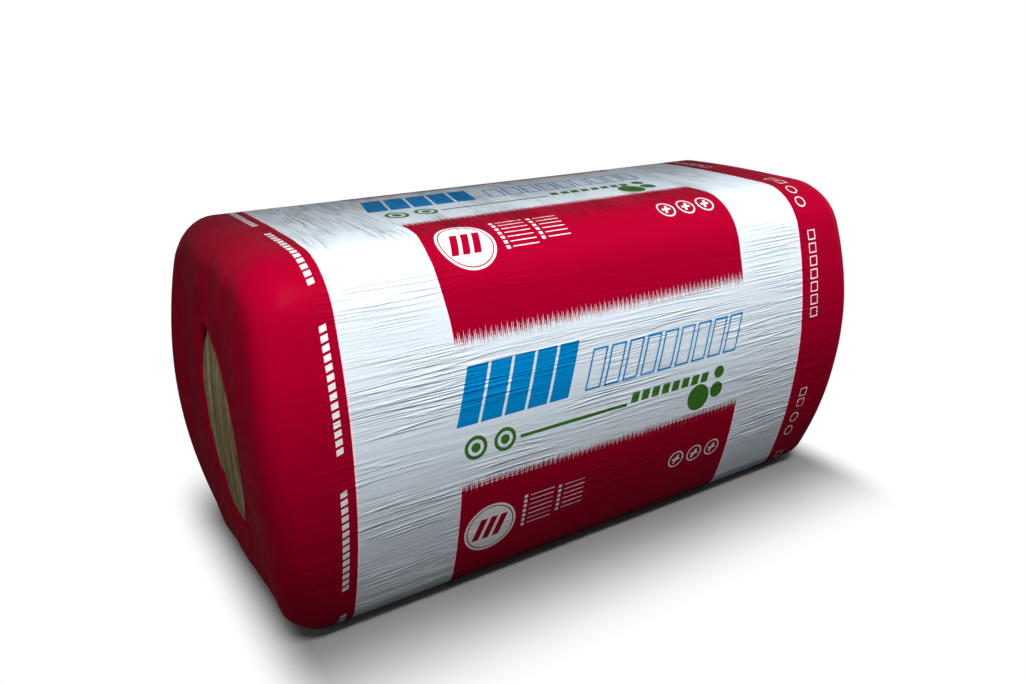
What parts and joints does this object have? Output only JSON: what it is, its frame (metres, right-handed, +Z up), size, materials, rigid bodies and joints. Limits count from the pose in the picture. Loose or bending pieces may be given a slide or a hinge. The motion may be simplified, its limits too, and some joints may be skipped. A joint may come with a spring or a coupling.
{
  "type": "mineral wool board pack",
  "caption": "Shrink-wrapped pack of compressed mineral wool boards standing on edge, in a printed film sleeve with an oval opening in each end.",
  "frame": {"origin": "on the standing surface, under the middle of the pack's bounding box", "axes": "+X along the pack, the long way of the boards; +Y through the stack of boards, away from the front; +Z up"},
  "size_m": [1.25, 0.565, 0.625],
  "materials": {
    "printed_film": "glossy printed polyethylene film",
    "mineral_wool": "fibrous, matt"
  },
  "bodies": {
    "root": {"film_wrap": "printed_film", "wool_boards": "mineral_wool"}
  },
  "joints": []
}
